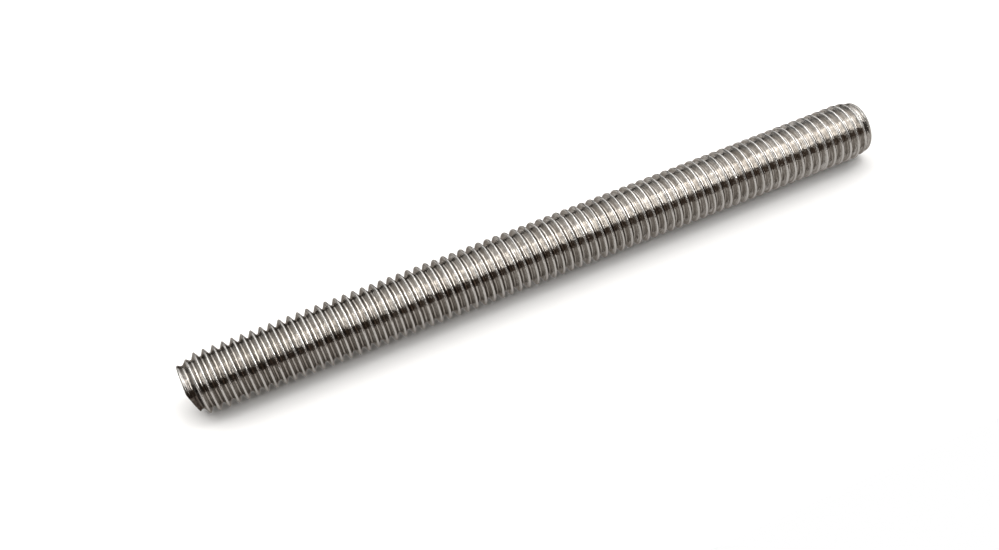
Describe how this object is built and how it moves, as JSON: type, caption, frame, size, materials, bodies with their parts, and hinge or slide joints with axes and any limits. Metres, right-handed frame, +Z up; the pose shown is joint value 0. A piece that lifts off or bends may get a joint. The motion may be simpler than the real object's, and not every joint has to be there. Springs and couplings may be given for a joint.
{
  "type": "threaded rod",
  "caption": "Straight steel rod with a fine right-hand screw thread along its whole length, a plain point at one end, a plain collar at the other and flat cropped end faces.",
  "frame": {"origin": "on the rod's axis at mid-length", "axes": "+X along the rod's axis, towards the end that is not cropped at an angle; +Z up as the rod lies on a surface"},
  "size_m": [0.098, 0.008, 0.008],
  "materials": {
    "steel": "bright rolled stainless steel, fine scratches along the thread"
  },
  "bodies": {
    "root": {"threaded_rod": "steel"}
  },
  "joints": []
}
